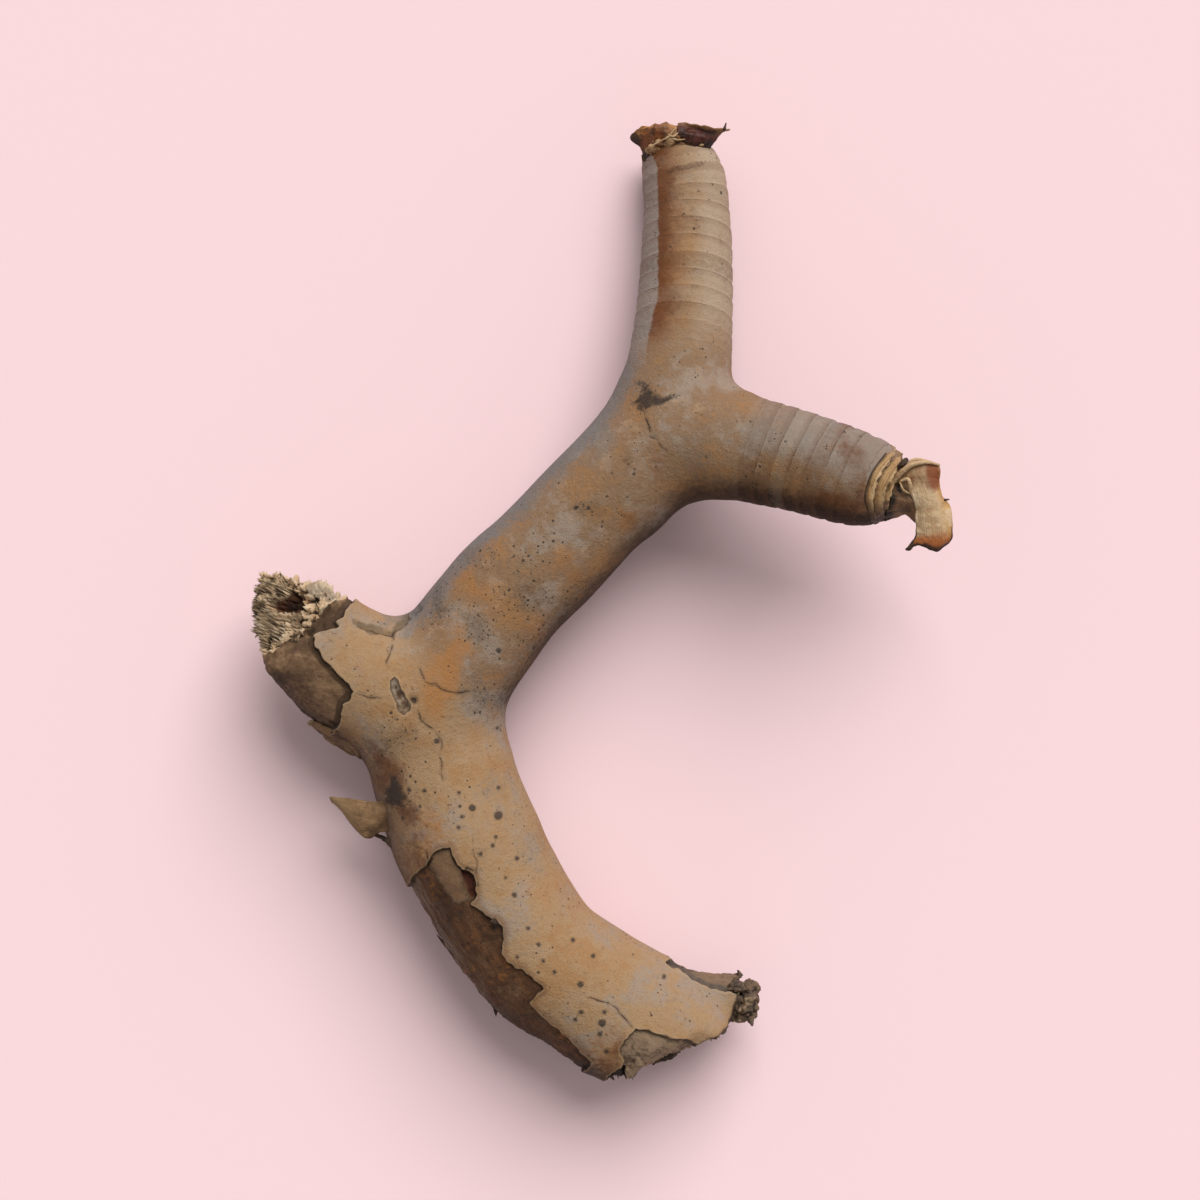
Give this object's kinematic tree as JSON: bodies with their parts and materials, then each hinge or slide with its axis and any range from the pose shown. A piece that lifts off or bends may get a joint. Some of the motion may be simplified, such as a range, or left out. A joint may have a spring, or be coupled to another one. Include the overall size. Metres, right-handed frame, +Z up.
{
  "type": "dry branch",
  "caption": "Dead, dry branch with a broken stub, peeling bark, a broken lower end and forked, ringed twigs tipped with withered leaf bases, lying on the floor.",
  "frame": {"origin": "middle of the branch's outline seen from above, on the floor that it lies on", "axes": "+X towards the side twig, +Y along the upper twig, +Z up from the floor"},
  "size_m": [0.3449, 0.4837, 0.0998],
  "materials": {
    "bark": "matte, weathered",
    "amber_leaf": "dry, slightly glossy",
    "dark_leaf": "dry, slightly glossy",
    "leaf_sheath": "matte, fibrous",
    "cream_leaf": "matte, papery"
  },
  "bodies": {
    "root": {"branch": "bark", "top_leaf_base_amber": "amber_leaf", "top_leaf_base_dark": "dark_leaf", "side_leaf_sheath": "leaf_sheath", "side_dry_leaf": "cream_leaf"}
  },
  "joints": []
}
